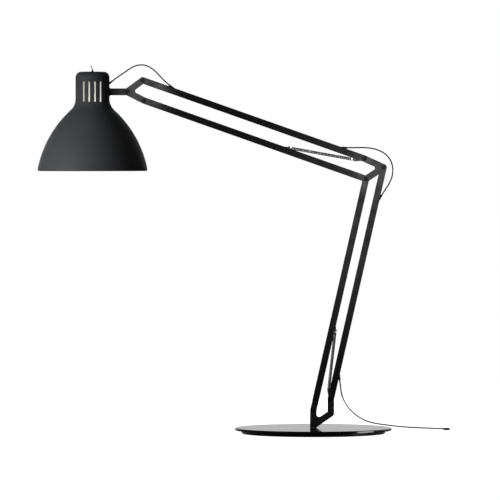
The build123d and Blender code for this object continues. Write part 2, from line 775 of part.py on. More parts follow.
# Shade: the vented cap and the bell, spun as one shell and seamed where the flare ends
with BuildPart() as shade_cap:
    add(shade_outside.part)
    add(shade_inside.part, mode=Mode.SUBTRACT)
    split(bisect_by=Plane.XY.offset(seam_z), keep=Keep.TOP)
    for face_angle in (-90.0, 90.0):
        for i in range(VENT_COUNT):
            turn = math.radians(face_angle + VENT_PITCH * (i - (VENT_COUNT - 1) / 2))
            vent = Plane(
                origin=(shade_x, 0, head_pivot[1] + VENT_RISE),
                x_dir=(-math.sin(turn), math.cos(turn), 0),
                z_dir=(math.cos(turn), math.sin(turn), 0),
            )
            with BuildSketch(vent):
                SlotOverall(VENT_L, VENT_W, rotation=90)
            extrude(amount=2 * CAP_R, mode=Mode.SUBTRACT)
    with BuildSketch(Plane(origin=(shade_x, 0, cap_top))):
        Circle(BUSHING_R + SEAT_GAP)
    extrude(amount=-CAP_CORNER_R, mode=Mode.SUBTRACT)
    with BuildSketch(sleeve_plane(cap_exit, cap_out).offset(-SLEEVE_IN)):
        Circle(SLEEVE_R + SEAT_GAP)
    extrude(amount=SLEEVE_IN + SLEEVE_OUT, mode=Mode.SUBTRACT)
save(shade_cap, "shade_cap")

with BuildPart() as shade_bell:
    add(shade_outside.part)
    add(shade_inside.part, mode=Mode.SUBTRACT)
    split(bisect_by=Plane.XY.offset(seam_z), keep=Keep.BOTTOM)
    with BuildSketch(Plane.XY.offset(rim_z)):
        with Locations((shade_x, 0)):
            Circle(RIM_R)
            Circle(RIM_R - LIP_T, mode=Mode.SUBTRACT)
    extrude(amount=LIP_H)
    rim_edges = shade_bell.edges().filter_by(GeomType.CIRCLE).group_by(Axis.Z)[0]
    fillet(rim_edges.sort_by(SortBy.RADIUS)[-1], 0.8 * LIP_T)
save(shade_bell, "shade_bell")
save(cord_sleeves([(cap_exit, cap_out)]), "cap_cord_sleeve")

# Neck: a forked bar seated on the cap's wall
neck_from = shade_x + math.sqrt(CAP_R**2 - (NECK_T / 2) ** 2)
with BuildPart() as neck:
    with BuildSketch(Plane.XZ):
        with Locations(((neck_from + head_pivot[0]) / 2, head_pivot[1])):
            Rectangle(head_pivot[0] - neck_from, NECK_W)
        with Locations(head_pivot):
            Circle(NECK_W / 2)
        root_x = shade_x + CAP_R + NECK_ROOT_R
        with Locations(((neck_from + root_x) / 2, head_pivot[1])):
            Rectangle(root_x - neck_from, NECK_W + 2 * NECK_ROOT_R)
        for side in (-1, 1):
            with Locations((root_x, head_pivot[1] + side * (NECK_W / 2 + NECK_ROOT_R))):
                Circle(NECK_ROOT_R, mode=Mode.SUBTRACT)
    extrude(amount=NECK_T / 2, both=True)
    with BuildSketch(Plane(origin=(shade_x, 0, head_pivot[1]))):
        Circle(CAP_R + SEAT_GAP)
    extrude(amount=2 * NECK_W, both=True, mode=Mode.SUBTRACT)
    cut_slot(head_pivot, neck_slot_half, HEAD_SLOT_R)
    with BuildSketch(arm_plane(head_pivot)):
        Circle(BOLT_R + RUN_GAP)
    extrude(amount=NECK_T, both=True, mode=Mode.SUBTRACT)
save(neck, "neck")

# Bridge across the cap that carries the lampholder
bridge_z = head_pivot[1] - BRIDGE_DROP
with BuildPart() as holder_bridge:
    with BuildSketch(Plane(origin=(shade_x, 0, bridge_z))):
        Rectangle(4 * CAP_R, BRIDGE_W)
    extrude(amount=BRIDGE_T)
    for side in (-1, 1):
        with BuildSketch(Plane(origin=(shade_x, 0, bridge_z + BRIDGE_T))):
            with Locations((side * (2 * CAP_R - BRIDGE_T), 0)):
                Rectangle(2 * CAP_R, BRIDGE_W)
        extrude(amount=BRIDGE_TAB)
    add(shade_fit.part, mode=Mode.INTERSECT)
save(holder_bridge, "holder_bridge")

holder_low = bridge_z - HOLDER_L
with BuildPart() as lampholder:
    with BuildSketch(Plane(origin=(shade_x, 0, bridge_z - FACE_GAP))):
        Circle(HOLDER_R)
    extrude(amount=-(HOLDER_L - FACE_GAP), taper=-2)
    fillet(lampholder.edges().group_by(Axis.Z)[-1], HOLDER_WALL)
    with BuildSketch(Plane(origin=(shade_x, 0, holder_low))):
        Circle(BULB_CAP_R + SIDE_GAP)
    extrude(amount=HOLDER_L - 2 * HOLDER_WALL, mode=Mode.SUBTRACT)
save(lampholder, "lampholder")

# Bulb: a threaded metal cap and a glass globe
bulb_z = holder_low - BULB_DROP
cap_low = holder_low - BULB_CAP_L / 6
with BuildPart() as bulb_cap:
    with BuildSketch(Plane(origin=(shade_x, 0, cap_low))):
        Circle(BULB_CAP_R)
    extrude(amount=BULB_CAP_L)
    chamfer(bulb_cap.edges().group_by(Axis.Z)[-1], BULB_CAP_R / 3)
save(bulb_cap, "bulb_cap")

globe_join = math.sqrt(BULB_R**2 - BULB_NECK_R**2)
with BuildPart() as bulb_globe:
    with BuildSketch(Plane(origin=(shade_x, 0, bulb_z), x_dir=(1, 0, 0), z_dir=(0, -1, 0))):
        with BuildLine():
            neck_top = cap_low - bulb_z
            ThreePointArc((0, -BULB_R), (BULB_R, 0), (BULB_NECK_R, globe_join))
            Line((BULB_NECK_R, globe_join), (BULB_CAP_R, neck_top))
            Line((BULB_CAP_R, neck_top), (0, neck_top))
            Line((0, neck_top), (0, -BULB_R))
        make_face()
    revolve(axis=Axis((shade_x, 0, 0), (0, 0, 1)))
save(bulb_globe, "bulb_globe")

# Toggle switch: its body under the cap's top, the bushing, the ring nut and the lever
bushing_top = cap_top + BUSHING_H
lever_z = bushing_top - LEVER_BALL_R / 4
with BuildPart() as switch_body:
    with BuildSketch(Plane(origin=(shade_x, 0, cap_top - SHADE_WALL - FACE_GAP))):
        RectangleRounded(SWITCH_L, SWITCH_W, 2 * SHADE_WALL)
    extrude(amount=-SWITCH_H)
    with BuildSketch(Plane(origin=(shade_x, 0, cap_top - SHADE_WALL - FACE_GAP))):
        Circle(BUSHING_R)
    extrude(amount=BUSHING_H + SHADE_WALL + FACE_GAP)
    with BuildSketch(Plane(origin=(shade_x, 0, bushing_top))):
        Circle(LEVER_BALL_R + SIDE_GAP)
    extrude(amount=-2 * LEVER_BALL_R, mode=Mode.SUBTRACT)
save(switch_body, "switch_body")

with BuildPart() as switch_nut:
    with BuildSketch(Plane(origin=(shade_x, 0, cap_top))):
        RegularPolygon(SWITCH_NUT_R, 6)
        Circle(BUSHING_R + RUN_GAP, mode=Mode.SUBTRACT)
    extrude(amount=SWITCH_NUT_T)
save(switch_nut, "switch_nut")

tilt = math.radians(LEVER_TILT)
lever_dir = Vector(-math.sin(tilt), 0, math.cos(tilt))
lever_foot = Vector(shade_x, 0, lever_z)
with BuildPart() as switch_lever:
    with BuildSketch(Plane(origin=lever_foot, z_dir=lever_dir)):
        Circle(LEVER_R)
    with BuildSketch(Plane(origin=lever_foot + lever_dir * LEVER_L, z_dir=lever_dir)):
        Circle(LEVER_TIP_R)
    loft()
    fillet(switch_lever.edges().filter_by(GeomType.CIRCLE).sort_by(Axis.Z)[-1], LEVER_R)
    with Locations(lever_foot):
        Sphere(LEVER_BALL_R)
save(switch_lever, "switch_lever")


def flat_cord(points):
    """A route in the plane of the arms as points in space."""
    return [(x, 0.0, z) for x, z in points]


def cord_tube(points, start_gap, name):
    """A cord along a route: straight runs joined by arcs as large as the runs allow."""
    route = [Vector(*p) for p in points]
    route[0] = route[0] + (route[1] - route[0]).normalized() * start_gap
    radii = []
    for p, q, r in zip(route, route[1:], route[2:]):
        turn = math.radians((q - p).get_angle(r - q))
        radii.append(0.45 * min((q - p).length, (r - q).length) / math.tan(turn / 2))
    print(name, "radii", [round(r) for r in radii])
    with BuildPart() as cord:
        with BuildLine() as line:
            FilletPolyline(*route, radius=radii)
        with BuildSketch(Plane(origin=route[0], z_dir=(route[1] - route[0]).normalized())):
            Circle(CORD_D / 2)
        sweep(path=line.line)
    length = sum(edge.length for edge in line.edges())
    share = cord.part.volume / (math.pi * (CORD_D / 2) ** 2 * length)
    print(name, "length", round(length, 1), "volume over section by length", round(share, 4))
    return cord


# Cord routes, chosen by eye: the loop over the head, the loop round the elbow and the floor lead
head_sleeve_end = ahead(cap_exit, cap_out, SLEEVE_OUT)
top_head_end = ahead(top_head_exit, top_head_out, SLEEVE_OUT)
top_elbow_end = ahead(top_elbow_exit, top_elbow_out, SLEEVE_OUT)
rear_top_end = ahead(rear_top_exit, rear_top_out, SLEEVE_OUT)
rear_foot_end = ahead(rear_foot_exit, rear_foot_out, SLEEVE_OUT)
head_loop_route = [
    head_sleeve_end,
    ahead(cap_exit, cap_out, SLEEVE_OUT + 36.0),
    (-1206.0, 2301.0),
    (-1164.0, 2332.5),
    (-1119.0, 2351.0),
    (-1069.0, 2351.0),
    (-1019.0, 2322.5),
    (-980.0, 2281.0),
    ahead(top_head_exit, top_head_out, SLEEVE_OUT + 28.0),
    top_head_end,
]
elbow_loop_route = [
    top_elbow_end,
    ahead(top_elbow_exit, top_elbow_out, SLEEVE_OUT + 50.0),
    (332.0, 1825.0),
    (396.0, 1816.0),
    (454.0, 1790.0),
    (493.0, 1747.0),
    (508.0, 1696.0),
    (505.0, 1646.0),
    (487.0, 1600.0),
    ahead(rear_top_exit, rear_top_out, SLEEVE_OUT + 40.0),
    rear_top_end,
]


def halves(route, run):
    """Split a route in the middle of one of its runs, each half from its own sleeve."""
    p, q = route[run], route[run + 1]
    middle = ((p[0] + q[0]) / 2, (p[1] + q[1]) / 2)
    return route[:run + 1] + [middle], route[:run:-1] + [middle]


head_cap_half, head_arm_half = halves(head_loop_route, 4)
elbow_upper_half, elbow_lower_half = halves(elbow_loop_route, 6)
floor_lead_route = [
    (rear_foot_end[0], 0.0, rear_foot_end[1]),
    (ahead(rear_foot_exit, rear_foot_out, SLEEVE_OUT + 38.0)[0], 0.0, 299.0),
    (179.0, 4.0, 256.0),
    (193.0, 16.0, 213.0),
    (215.0, 38.0, 175.0),
    (246.0, 75.0, 137.0),
    (288.0, 125.0, 101.0),
    (340.0, 185.0, 71.0),
    (393.0, 249.0, 53.0),
    (438.0, 317.0, 43.0),
    (480.0, 388.0, 34.0),
    (524.0, 459.0, 25.0),
    (574.0, 526.0, 16.5),
    (634.0, 577.0, 9.5),
    (702.0, 596.0, 5.2),
    (766.0, 566.0, 4.6),
    (815.0, 508.0, 4.6),
    (852.0, 440.0, PLUG_H / 2 + FACE_GAP),
]

save(cord_tube(flat_cord(head_cap_half), SEAT_GAP, "head_loop_cap"), "head_loop_cap")
save(cord_tube(flat_cord(head_arm_half), SEAT_GAP, "head_loop_arm"), "head_loop_arm")
save(cord_tube(flat_cord(elbow_upper_half), SEAT_GAP, "elbow_loop_upper"), "elbow_loop_upper")
save(cord_tube(flat_cord(elbow_lower_half), SEAT_GAP, "elbow_loop_lower"), "elbow_loop_lower")
save(cord_tube(floor_lead_route, SEAT_GAP, "floor_lead"), "floor_lead")

# Plug on the end of the floor lead: a tapered grip, a flat body and two pins
plug_at = Vector(*floor_lead_route[-1])
plug_run = plug_at - Vector(*floor_lead_route[-2])
plug_dir = Vector(plug_run.X, plug_run.Y, 0).normalized()
plug_side = Vector(-plug_dir.Y, plug_dir.X, 0)
body_at = plug_at + plug_dir * PLUG_GRIP_L
with BuildPart() as mains_plug:
    with BuildSketch(Plane(origin=plug_at + plug_dir * SIDE_GAP, x_dir=plug_side, z_dir=plug_dir)):
        RectangleRounded(CORD_D + PLUG_CORNER_R, CORD_D + PLUG_CORNER_R, PLUG_CORNER_R)
    with BuildSketch(Plane(origin=body_at, x_dir=plug_side, z_dir=plug_dir)):
        RectangleRounded(PLUG_W, PLUG_H, PLUG_CORNER_R)
    loft()
    with BuildSketch(Plane(origin=body_at, x_dir=plug_side, z_dir=plug_dir)):
        RectangleRounded(PLUG_W, PLUG_H, PLUG_CORNER_R)
    extrude(amount=PLUG_BODY_L)
    pins_at = body_at + plug_dir * PLUG_BODY_L
    with BuildSketch(Plane(origin=pins_at, x_dir=plug_side, z_dir=plug_dir)):
        with GridLocations(PLUG_PIN_PITCH, 0, 2, 1):
            Circle(PLUG_PIN_R)
    extrude(amount=PLUG_PIN_L)
save(mains_plug, "mains_plug")
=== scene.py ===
"""Looks of an adjustable-arm floor lamp: finishes, cords, springs, stage, light and camera."""

from __future__ import annotations

import logging
import math
from dataclasses import dataclass
from enum import Enum

import bpy
import numpy as np
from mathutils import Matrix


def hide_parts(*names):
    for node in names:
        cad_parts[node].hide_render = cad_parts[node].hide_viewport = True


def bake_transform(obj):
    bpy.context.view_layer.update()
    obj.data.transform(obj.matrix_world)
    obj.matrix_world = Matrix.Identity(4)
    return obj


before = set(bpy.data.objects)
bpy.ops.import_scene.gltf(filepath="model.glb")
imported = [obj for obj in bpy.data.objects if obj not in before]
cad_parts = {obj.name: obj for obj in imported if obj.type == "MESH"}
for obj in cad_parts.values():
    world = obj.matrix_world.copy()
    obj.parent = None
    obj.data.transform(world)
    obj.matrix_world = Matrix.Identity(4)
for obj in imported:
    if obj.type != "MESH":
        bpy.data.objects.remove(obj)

log = logging.getLogger("floor_lamp")
Point = tuple[float, float, float]
Range = tuple[float, float]
WHITE = (1.0, 1.0, 1.0, 1.0)

# The middle of a noise's grey, which is mapped to the range that a finish asks for.
NOISE_MIDDLE: Range = (0.3, 0.7)
# The noise that shifts a finish's colour in patches, and the one that shifts its roughness.
PATCH_SCALE = 6.0
PATCH_DETAIL = 5.0
WEAR_SCALE = 14.0
WEAR_DETAIL = 4.0
BUMP_STRENGTH = 0.6
# The mix node's sockets when it mixes colours.
MIX_FACTOR = 0
MIX_FIRST = 6
MIX_SECOND = 7
MIX_RESULT = 2
# The shade is white where the dot product of its normal and the vector from its axis, in metres,
# is below this.
INSIDE_LIMIT = -0.002
# The share of a tube's radius that is left at its drawn-in ends.
TIP_SHARE = 0.02


class Grain(Enum):
    """What breaks up a finish's surface, with the detail of its noise as the value."""

    ORANGE_PEEL = 2.0
    BRUSHED = 3.0
    MOULDED = 4.0
    FIBRE = 6.0


class NodeGraph:
    """A material's node tree with short calls to add and join its nodes."""

    def __init__(self, tree: bpy.types.NodeTree) -> None:
        """Keep the tree and start with no nodes.

        Args:
            tree: The node tree to fill.
        """
        self.tree = tree
        self.tree.nodes.clear()

    def add(self, kind: str, **values: object) -> bpy.types.Node:
        """Add a node and set its properties and input sockets.

        Args:
            kind: The node's type name.
            **values: Properties by name, or input sockets by name with spaces as underscores.

        Returns:
            The new node.
        """
        node = self.tree.nodes.new(kind)
        for name, value in values.items():
            if hasattr(node, name):
                setattr(node, name, value)
            else:
                node.inputs[name.replace("_", " ")].default_value = value
        return node

    def join(self, source: bpy.types.NodeSocket, target: bpy.types.NodeSocket) -> None:
        """Link two sockets.

        Args:
            source: The output socket.
            target: The input socket.
        """
        self.tree.links.new(source, target)

    def noise(
        self,
        place: bpy.types.NodeSocket,
        scale: float,
        detail: float,
    ) -> bpy.types.NodeSocket:
        """Add a noise texture.

        Args:
            place: The coordinates at which it is read.
            scale: Its scale.
            detail: Its detail.

        Returns:
            Its grey output.
        """
        node = self.add("ShaderNodeTexNoise", Scale=scale, Detail=detail)
        self.join(place, node.inputs["Vector"])
        return node.outputs[0]

    def map_range(
        self,
        source: bpy.types.NodeSocket,
        given: Range,
        wanted: Range,
    ) -> bpy.types.NodeSocket:
        """Map a value from one range to another and hold it at the ends.

        Args:
            source: The value.
            given: The range that the value is read in.
            wanted: The range that it is mapped to.

        Returns:
            The mapped value.
        """
        node = self.add(
            "ShaderNodeMapRange",
            From_Min=given[0],
            From_Max=given[1],
            To_Min=wanted[0],
            To_Max=wanted[1],
        )
        self.join(source, node.inputs["Value"])
        return node.outputs["Result"]


@dataclass(frozen=True)
class Finish:
    """One finish of the lamp, from which its material is made."""

    name: str
    colour: tuple[float, float, float]
    roughness: float
    grain: Grain
    metallic: float = 0.0
    coat: float = 0.0
    coat_roughness: float = 0.1
    specular: float = 0.5
    transmission: float = 0.0
    sheen: float = 0.0
    colour_spread: float = 0.15
    roughness_spread: float = 0.06
    grain_scale: float = 900.0
    relief: float = 0.00004
    stretch: Point = (1.0, 1.0, 1.0)

    def material(self) -> bpy.types.Material:
        """Make the finish's material.

        Returns:
            The material: a large soft noise shifts its colour, a middle one its roughness and the
            grain its normal, all on the piece's own coordinates.
        """
        made = bpy.data.materials.new(self.name)
        made.use_nodes = True
        made.diffuse_color = (*self.colour, 1.0)
        graph = NodeGraph(made.node_tree)
        shader = graph.add("ShaderNodeBsdfPrincipled", Metallic=self.metallic)
        shader.inputs["Coat Weight"].default_value = self.coat
        shader.inputs["Coat Roughness"].default_value = self.coat_roughness
        shader.inputs["Specular IOR Level"].default_value = self.specular
        shader.inputs["Transmission Weight"].default_value = self.transmission
        shader.inputs["Sheen Weight"].default_value = self.sheen
        end = graph.add("ShaderNodeOutputMaterial")
        graph.join(shader.outputs["BSDF"], end.inputs["Surface"])
        coords = graph.add("ShaderNodeTexCoord")
        turned = graph.add("ShaderNodeMapping", Scale=self.stretch)
        graph.join(coords.outputs["Object"], turned.inputs["Vector"])
        place = turned.outputs["Vector"]
        graph.join(self.colour_of(graph, place, coords), shader.inputs["Base Color"])
        wear = graph.map_range(
            graph.noise(place, WEAR_SCALE, WEAR_DETAIL),
            NOISE_MIDDLE,
            (self.roughness - self.roughness_spread, self.roughness + self.roughness_spread),
        )
        graph.join(wear, shader.inputs["Roughness"])
        bump = graph.add("ShaderNodeBump", Strength=BUMP_STRENGTH, Distance=self.relief)
        graph.join(graph.noise(place, self.grain_scale, self.grain.value), bump.inputs["Height"])
        graph.join(bump.outputs["Normal"], shader.inputs["Normal"])
        return made

    def colour_of(
        self,
        graph: NodeGraph,
        place: bpy.types.NodeSocket,
        coords: bpy.types.Node,
    ) -> bpy.types.NodeSocket:
        """Give the finish's colour, lighter and darker in soft patches.

        Args:
            graph: The material's nodes.
            place: The stretched object coordinates.
            coords: The texture coordinate node.

        Returns:
            The colour's socket.
        """
        mix = graph.add("ShaderNodeMix", data_type="RGBA")
        light = [c * (1.0 + self.colour_spread) for c in self.colour]
        dark = [c * (1.0 - self.colour_spread) for c in self.colour]
        mix.inputs[MIX_FIRST].default_value = (*dark, 1.0)
        mix.inputs[MIX_SECOND].default_value = (*light, 1.0)
        patches = graph.noise(place, PATCH_SCALE, PATCH_DETAIL)
        graph.join(graph.map_range(patches, NOISE_MIDDLE, (0.0, 1.0)), mix.inputs[MIX_FACTOR])
        return mix.outputs[MIX_RESULT]


@dataclass(frozen=True)
class ShadeFinish(Finish):
    """A lacquer that is black outside the shade and white on the faces that look at its axis."""

    axis_x: float = 0.0
    inside: tuple[float, float, float] = (0.8, 0.79, 0.76)

    def colour_of(
        self,
        graph: NodeGraph,
        place: bpy.types.NodeSocket,
        coords: bpy.types.Node,
    ) -> bpy.types.NodeSocket:
        """Mix the outer colour with the inner one where the normal points to the axis.

        Args:
            graph: The material's nodes.
            place: The stretched object coordinates.
            coords: The texture coordinate node.

        Returns:
            The colour's socket. The mask is the dot product of the normal with the vector from the
            axis, which is negative inside.
        """
        outer = super().colour_of(graph, place, coords)
        away = graph.add("ShaderNodeVectorMath", operation="SUBTRACT")
        away.inputs[1].default_value = (self.axis_x, 0.0, 0.0)
        graph.join(coords.outputs["Object"], away.inputs[0])
        flat = graph.add("ShaderNodeVectorMath", operation="MULTIPLY")
        flat.inputs[1].default_value = (1.0, 1.0, 0.0)
        graph.join(away.outputs["Vector"], flat.inputs[0])
        facing = graph.add("ShaderNodeVectorMath", operation="DOT_PRODUCT")
        graph.join(flat.outputs["Vector"], facing.inputs[0])
        graph.join(coords.outputs["Normal"], facing.inputs[1])
        mask = graph.add("ShaderNodeMath", operation="LESS_THAN")
        mask.inputs[1].default_value = INSIDE_LIMIT
        graph.join(facing.outputs["Value"], mask.inputs[0])
        mix = graph.add("ShaderNodeMix", data_type="RGBA")
        mix.inputs[MIX_SECOND].default_value = (*self.inside, 1.0)
        graph.join(mask.outputs["Value"], mix.inputs[MIX_FACTOR])
        graph.join(outer, mix.inputs[MIX_FIRST])
        return mix.outputs[MIX_RESULT]


SHADE_AXIS_X = -1.40795

LACQUER = Finish(
    "satin_black_lacquer",
    (0.008, 0.008, 0.0084),
    0.38,
    Grain.ORANGE_PEEL,
    specular=0.25,
    relief=0.00001,
)
FORK_LACQUER = Finish(
    "textured_black_forks",
    (0.016, 0.016, 0.0165),
    0.38,
    Grain.ORANGE_PEEL,
    specular=0.27,
    grain_scale=600.0,
    relief=0.00003,
)
BASE_LACQUER = Finish(
    "gloss_black_base",
    (0.003, 0.003, 0.0033),
    0.07,
    Grain.ORANGE_PEEL,
    specular=0.12,
    roughness_spread=0.02,
    grain_scale=60.0,
    relief=0.0000006,
)
SHADE_LACQUER = ShadeFinish(
    "satin_black_shade",
    (0.046, 0.047, 0.050),
    0.5,
    Grain.ORANGE_PEEL,
    specular=0.05,
    colour_spread=0.05,
    axis_x=SHADE_AXIS_X,
)
DARK_STEEL = Finish(
    "blackened_steel",
    (0.008, 0.008, 0.0085),
    0.45,
    Grain.BRUSHED,
    specular=0.14,
    grain_scale=1500.0,
    relief=0.00001,
)
SPRING_STEEL = Finish(
    "oiled_spring_wire",
    (0.5, 0.5, 0.51),
    0.38,
    Grain.BRUSHED,
    metallic=1.0,
    grain_scale=1800.0,
)
BRONZE = Finish(
    "bronze_bush",
    (0.42, 0.26, 0.10),
    0.4,
    Grain.BRUSHED,
    metallic=1.0,
    stretch=(1.0, 0.2, 1.0),
)
ZINC = Finish(
    "zinc_plate",
    (0.5, 0.5, 0.49),
    0.42,
    Grain.BRUSHED,
    metallic=1.0,
    stretch=(0.1, 1.0, 1.0),
)
SWITCH_METAL = Finish(
    "dark_switch",
    (0.04, 0.04, 0.042),
    0.36,
    Grain.BRUSHED,
    metallic=1.0,
    relief=0.00001,
)
FELT = Finish(
    "felt_pad",
    (0.03, 0.03, 0.03),
    0.95,
    Grain.FIBRE,
    sheen=0.3,
    specular=0.1,
    grain_scale=2600.0,
    relief=0.0006,
)
NYLON = Finish("nylon_washer", (0.05, 0.05, 0.05), 0.55, Grain.MOULDED)
FLEX = Finish(
    "black_flex",
    (0.005, 0.005, 0.005),
    0.5,
    Grain.MOULDED,
    specular=0.12,
    grain_scale=1200.0,
)
SLEEVE = Finish(
    "rubber_sleeve",
    (0.006, 0.006, 0.006),
    0.6,
    Grain.MOULDED,
    specular=0.15,
    grain_scale=1600.0,
)
PLUG = Finish(
    "moulded_plug",
    (0.006, 0.006, 0.006),
    0.4,
    Grain.MOULDED,
    specular=0.2,
    grain_scale=1400.0,
)
PHENOLIC = Finish("phenolic_holder", (0.02, 0.018, 0.017), 0.35, Grain.MOULDED, coat=0.2)
SCREW_CAP = Finish(
    "screw_cap",
    (0.55, 0.54, 0.5),
    0.3,
    Grain.BRUSHED,
    metallic=1.0,
    stretch=(1.0, 1.0, 12.0),
)
OPAL = Finish(
    "opal_glass",
    (0.86, 0.85, 0.82),
    0.18,
    Grain.MOULDED,
    coat=0.6,
    transmission=0.25,
    relief=0.00001,
)

NODE_FINISHES: dict[Finish, tuple[str, ...]] = {
    BASE_LACQUER: ("base_disc", "base_plinth"),
    SHADE_LACQUER: ("shade_cap", "shade_bell"),
    DARK_STEEL: (
        "swivel_spindle",
        "spindle_nut",
        "base_pivot_bolts",
        "elbow_pivot_bolts",
        "head_fork_pivot_bolts",
        "neck_pivot_bolts",
        "lower_spring_pin",
        "upper_spring_pin",
    ),
    SPRING_STEEL: ("lower_springs", "upper_springs"),
    BRONZE: (
        "swivel_bush",
        "lower_rear_bushes",
        "lower_front_bushes",
        "upper_top_bushes",
        "upper_bottom_bush",
        "head_bush",
    ),
    ZINC: ("holder_bridge",),
    SWITCH_METAL: ("switch_body", "switch_nut", "switch_lever"),
    FORK_LACQUER: (
        "base_fork",
        "elbow_bracket",
        "head_fork",
        "lower_front_foot_end",
        "lower_front_elbow_end",
        "lower_rear_foot_end",
        "lower_rear_elbow_end",
        "upper_top_elbow_end",
        "upper_top_head_end",
        "upper_bottom_elbow_end",
        "upper_bottom_head_end",
        "lower_spring_plates",
        "upper_spring_plates",
    ),
    FELT: ("floor_pad",),
    NYLON: ("thrust_washer",),
    FLEX: ("floor_lead", "elbow_loop_upper", "elbow_loop_lower", "head_loop_cap", "head_loop_arm"),
    SLEEVE: ("lower_rear_cord_sleeves", "upper_top_cord_sleeves", "cap_cord_sleeve"),
    PLUG: ("mains_plug",),
    PHENOLIC: ("lampholder",),
    SCREW_CAP: ("bulb_cap",),
    OPAL: ("bulb_globe",),
}


class FinishRack:
    """Every finish's material, made once when it is first asked for."""

    def __init__(self) -> None:
        """Start with no materials."""
        self.made: dict[str, bpy.types.Material] = {}

    def get(self, finish: Finish) -> bpy.types.Material:
        """Give a finish's material.

        Args:
            finish: The finish.

        Returns:
            Its material.
        """
        if finish.name not in self.made:
            self.made[finish.name] = finish.material()
        return self.made[finish.name]

    def dress(self, obj: bpy.types.Object, finish: Finish) -> None:
        """Put a finish on a whole object.

        Args:
            obj: The object.
            finish: The finish.
        """
        obj.data.materials.clear()
        obj.data.materials.append(self.get(finish))

    def dress_nodes(self) -> None:
        """Put the finishes on the CAD nodes, black lacquer on those that name no other."""
        named = {node: finish for finish, nodes in NODE_FINISHES.items() for node in nodes}
        for name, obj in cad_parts.items():
            self.dress(obj, named.get(name, LACQUER))
        log.info("dressed %d nodes", len(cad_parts))


def put_in_scene(name: str, data: bpy.types.ID) -> bpy.types.Object:
    """Make an object of some data and link it to the scene.

    Args:
        name: The object's name.
        data: Its mesh, curve, lamp or camera.

    Returns:
        The object, at the origin.
    """
    obj = bpy.data.objects.new(name, data)
    bpy.context.scene.collection.objects.link(obj)
    return obj


def smooth_mesh(name: str, points: np.ndarray, faces: np.ndarray) -> bpy.types.Object:
    """Make a smooth-shaded mesh object from whole arrays.

    Args:
        name: The object's name.
        points: Its points, three columns in metres.
        faces: Its quads, four columns of point numbers.

    Returns:
        The object, at the origin.
    """
    mesh = bpy.data.meshes.new(name)
    mesh.vertices.add(len(points))
    mesh.vertices.foreach_set("co", points.astype(np.float32).ravel())
    mesh.loops.add(faces.size)
    mesh.loops.foreach_set("vertex_index", faces.astype(np.int32).ravel())
    mesh.polygons.add(len(faces))
    mesh.polygons.foreach_set("loop_start", np.arange(0, faces.size, 4, dtype=np.int32))
    mesh.polygons.foreach_set("use_smooth", np.ones(len(faces), dtype=bool))
    mesh.update(calc_edges=True)
    mesh.validate()
    return put_in_scene(name, mesh)


def grid_quads(rows: int, columns: int) -> np.ndarray:
    """Quads of a grid of points that closes round its columns.

    Args:
        rows: How many rings of points there are.
        columns: How many points each ring has.

    Returns:
        The quads, four columns of point numbers.
    """
    row = np.arange(rows - 1)[:, None] * columns
    here = np.arange(columns)[None, :]
    after = (here + 1) % columns
    above = row + columns
    quads = np.stack([row + here, row + after, above + after, above + here], axis=-1)
    return quads.reshape(-1, 4)


def unit(vectors: np.ndarray) -> np.ndarray:
    """Scale vectors to length one.

    Args:
        vectors: One vector, or one in each row.

    Returns:
        The scaled vectors.
    """
    return vectors / np.linalg.norm(vectors, axis=-1, keepdims=True)


def tube(
    path: np.ndarray,
    across: np.ndarray,
    radius: float,
    sides: int,
) -> tuple[np.ndarray, np.ndarray]:
    """Carry a round profile along a path, with its ends drawn in almost to a point.

    A ring is the path's point plus radius times (cosine of the angle times the first normal plus
    its sine times the second). The first normal is the given vector less its part along the path.

    Args:
        path: The path's points, three columns.
        across: A vector that is never along the path, or one for each point.
        radius: The tube's radius.
        sides: The points of a ring.

    Returns:
        The points and the quads.
    """
    along = unit(np.gradient(path, axis=0))
    across = np.broadcast_to(across, path.shape)
    first = unit(across - along * np.sum(across * along, axis=1, keepdims=True))
    second = np.cross(along, first)
    size = np.full(len(path), radius)
    path = np.concatenate([path[:1], path, path[-1:]])
    first = np.concatenate([first[:1], first, first[-1:]])
    second = np.concatenate([second[:1], second, second[-1:]])
    size = np.concatenate([[radius * TIP_SHARE], size, [radius * TIP_SHARE]])
    turn = np.linspace(0.0, 2.0 * np.pi, sides, endpoint=False)
    cosine = np.cos(turn)[None, :, None]
    sine = np.sin(turn)[None, :, None]
    ring = cosine * first[:, None] + sine * second[:, None]
    points = path[:, None] + size[:, None, None] * ring
    return points.reshape(-1, 3), grid_quads(len(path), sides)


def nurbs_points(name: str, route: tuple[Point, ...], resolution: int) -> np.ndarray:
    """Read the points of a smooth spline whose control points are a route.

    Args:
        name: A name for the spline while it exists.
        route: The control points, in metres.
        resolution: Points for each stretch.

    Returns:
        The spline's points, three columns.
    """
    curve = bpy.data.curves.new(name, "CURVE")
    curve.dimensions = "3D"
    spline = curve.splines.new("NURBS")
    spline.points.add(len(route) - 1)
    control = np.column_stack([np.array(route), np.ones(len(route))])
    spline.points.foreach_set("co", control.astype(np.float32).ravel())
    spline.order_u = 3
    spline.use_endpoint_u = True
    spline.resolution_u = resolution
    obj = put_in_scene(name, curve)
    mesh = bpy.data.meshes.new_from_object(obj)
    points = np.zeros(len(mesh.vertices) * 3, np.float32)
    mesh.vertices.foreach_get("co", points)
    bpy.data.objects.remove(obj)
    bpy.data.curves.remove(curve)
    bpy.data.meshes.remove(mesh)
    return points.reshape(-1, 3).astype(float)


